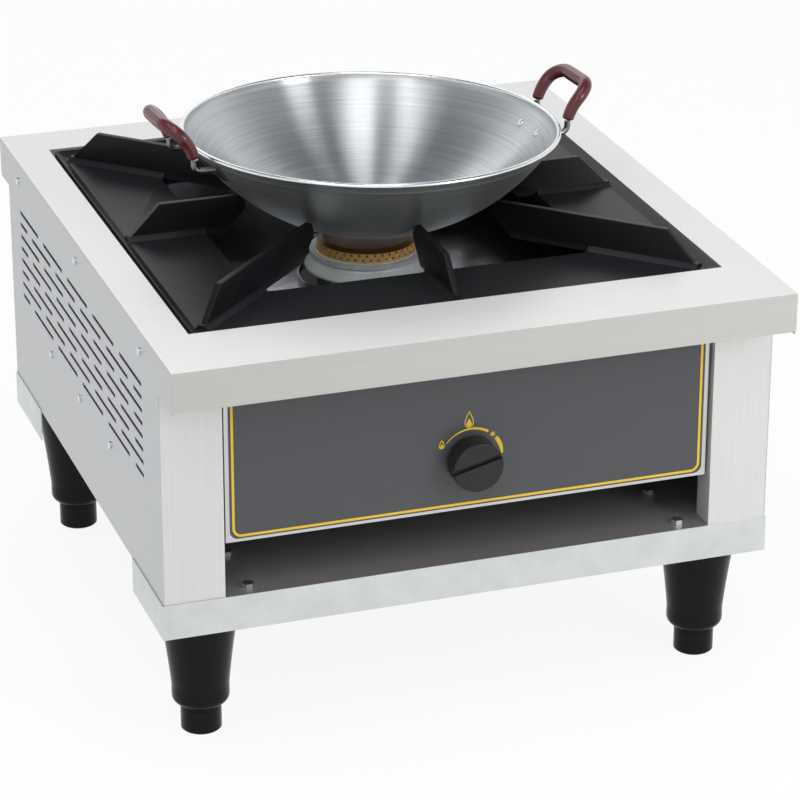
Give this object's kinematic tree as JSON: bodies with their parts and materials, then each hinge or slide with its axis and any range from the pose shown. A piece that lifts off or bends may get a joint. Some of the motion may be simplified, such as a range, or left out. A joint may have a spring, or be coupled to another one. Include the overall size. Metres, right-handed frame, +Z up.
{
  "type": "wok range",
  "caption": "Free-standing stainless gas range with an open ring burner, a finned cast iron pan support and a two-handled wok standing on it.",
  "frame": {"origin": "on the floor under the middle of the top plate", "axes": "+X to the range's right as seen from the front, the front faces -Y, +Z up"},
  "size_m": [0.604, 0.67, 0.5339],
  "materials": {
    "stainless_top": "fine brushed stainless steel",
    "stainless_body": "fine brushed stainless steel",
    "stainless_inner": "plain mill-finish stainless steel",
    "galvanised_rail": "spangled galvanised steel",
    "zinc_fasteners": "zinc plated",
    "steel_parts": "plain steel",
    "aluminium_pipe": "drawn tube",
    "brass_parts": "machined brass",
    "brass_ring": "turned brass, heat tinted",
    "grey_casting": "cast, turned on its faces",
    "black_iron": "matt black enamelled cast iron",
    "brushed_wok": "spun and brushed in rings",
    "red_brown_grip": "glossy coated grip",
    "black_knob": "satin moulded",
    "grey_film": "satin printed film",
    "black_leg": "satin black",
    "white_ceramic": "glazed"
  },
  "bodies": {
    "cabinet": {"top_plate": "stainless_top", "ledge_frame": "stainless_inner", "left_side_panel": "stainless_body", "right_side_panel": "stainless_body", "left_side_screws": "zinc_fasteners", "right_side_screws": "zinc_fasteners", "front_left_post": "stainless_body", "front_right_post": "stainless_body", "rear_panel": "stainless_body", "front_base_rail": "galvanised_rail", "rear_base_rail": "galvanised_rail", "shelf_plate": "stainless_inner", "leg_bolts": "zinc_fasteners", "front_left_leg": "black_leg", "front_right_leg": "black_leg", "rear_left_leg": "black_leg", "rear_right_leg": "black_leg", "control_panel": "stainless_body", "panel_film": "grey_film", "gas_tap": "brass_parts", "magnet_unit": "steel_parts", "feed_pipe": "steel_parts", "supply_pipe": "aluminium_pipe", "gas_inlet": "steel_parts", "inlet_nut": "zinc_fasteners", "pipe_clips": "zinc_fasteners", "burner_shelf": "stainless_inner", "burner_casting": "grey_casting", "burner_bolt": "zinc_fasteners", "venturi": "grey_casting", "injector": "brass_parts", "injector_holder": "brass_parts", "injector_bracket": "zinc_fasteners", "flame_bracket": "stainless_inner", "thermocouple": "steel_parts", "ignition_electrode": "white_ceramic", "spill_tray": "stainless_inner"},
    "front_left_foot": {"front_left_foot": "black_leg"},
    "front_right_foot": {"front_right_foot": "black_leg"},
    "rear_left_foot": {"rear_left_foot": "black_leg"},
    "rear_right_foot": {"rear_right_foot": "black_leg"},
    "tap_plug": {"tap_plug": "brass_parts"},
    "knob": {"knob": "black_knob", "tap_stem": "steel_parts"},
    "burner_ring": {"burner_ring": "brass_ring"},
    "pan_support": {"pan_support": "black_iron"},
    "wok": {"wok_bowl": "brushed_wok", "wok_rivets": "brushed_wok", "right_handle_strap": "steel_parts", "left_handle_strap": "steel_parts", "right_handle_grip": "red_brown_grip", "left_handle_grip": "red_brown_grip"}
  },
  "joints": [
    {"name": "pan_support_lift", "type": "slide", "parent": "cabinet", "child": "pan_support", "axis": [0, 0, 1], "range_m": [0, 0.15]},
    {"name": "wok_lift", "type": "slide", "parent": "pan_support", "child": "wok", "axis": [0, 0, 1], "range_m": [0, 0.2]},
    {"name": "burner_ring_lift", "type": "slide", "parent": "cabinet", "child": "burner_ring", "axis": [0, 0, 1], "range_m": [0, 0.008]},
    {"name": "knob_turn", "type": "hinge", "parent": "cabinet", "child": "tap_plug", "pos_m": [0, -0.279, 0.26], "axis": [0, -1, 0], "range_deg": [0, 135]},
    {"name": "knob_press", "type": "slide", "parent": "tap_plug", "child": "knob", "axis": [0, 1, 0], "range_m": [0, 0.003], "stiffness_N_per_m": 3000},
    {"name": "front_left_foot_screw", "type": "slide", "parent": "cabinet", "child": "front_left_foot", "axis": [0, 0, -1], "range_m": [0, 0.025]},
    {"name": "front_right_foot_screw", "type": "slide", "parent": "cabinet", "child": "front_right_foot", "axis": [0, 0, -1], "range_m": [0, 0.025]},
    {"name": "rear_left_foot_screw", "type": "slide", "parent": "cabinet", "child": "rear_left_foot", "axis": [0, 0, -1], "range_m": [0, 0.025]},
    {"name": "rear_right_foot_screw", "type": "slide", "parent": "cabinet", "child": "rear_right_foot", "axis": [0, 0, -1], "range_m": [0, 0.025]}
  ]
}
